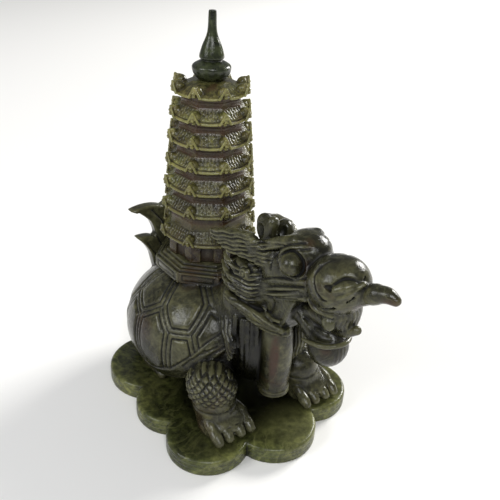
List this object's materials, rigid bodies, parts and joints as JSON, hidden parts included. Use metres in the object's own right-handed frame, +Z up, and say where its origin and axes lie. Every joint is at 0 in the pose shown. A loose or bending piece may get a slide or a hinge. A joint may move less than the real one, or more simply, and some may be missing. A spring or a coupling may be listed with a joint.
{
  "type": "dragon turtle figure",
  "caption": "Carved dark green stone dragon turtle on a lobed slab, with a tiered pagoda and a turned finial on its back.",
  "frame": {"origin": "middle of the slab's flat underside", "axes": "+Z up, -Y the way the turtle faces, +X its left"},
  "size_m": [0.141, 0.222, 0.2609],
  "materials": {
    "slab_stone": "polished",
    "turtle_stone": "polished",
    "tower_stone": "polished",
    "finial_stone": "polished"
  },
  "bodies": {
    "root": {"lobed_base": "slab_stone", "dragon_turtle": "turtle_stone", "pagoda_tower": "tower_stone", "tower_finial": "finial_stone"}
  },
  "joints": []
}
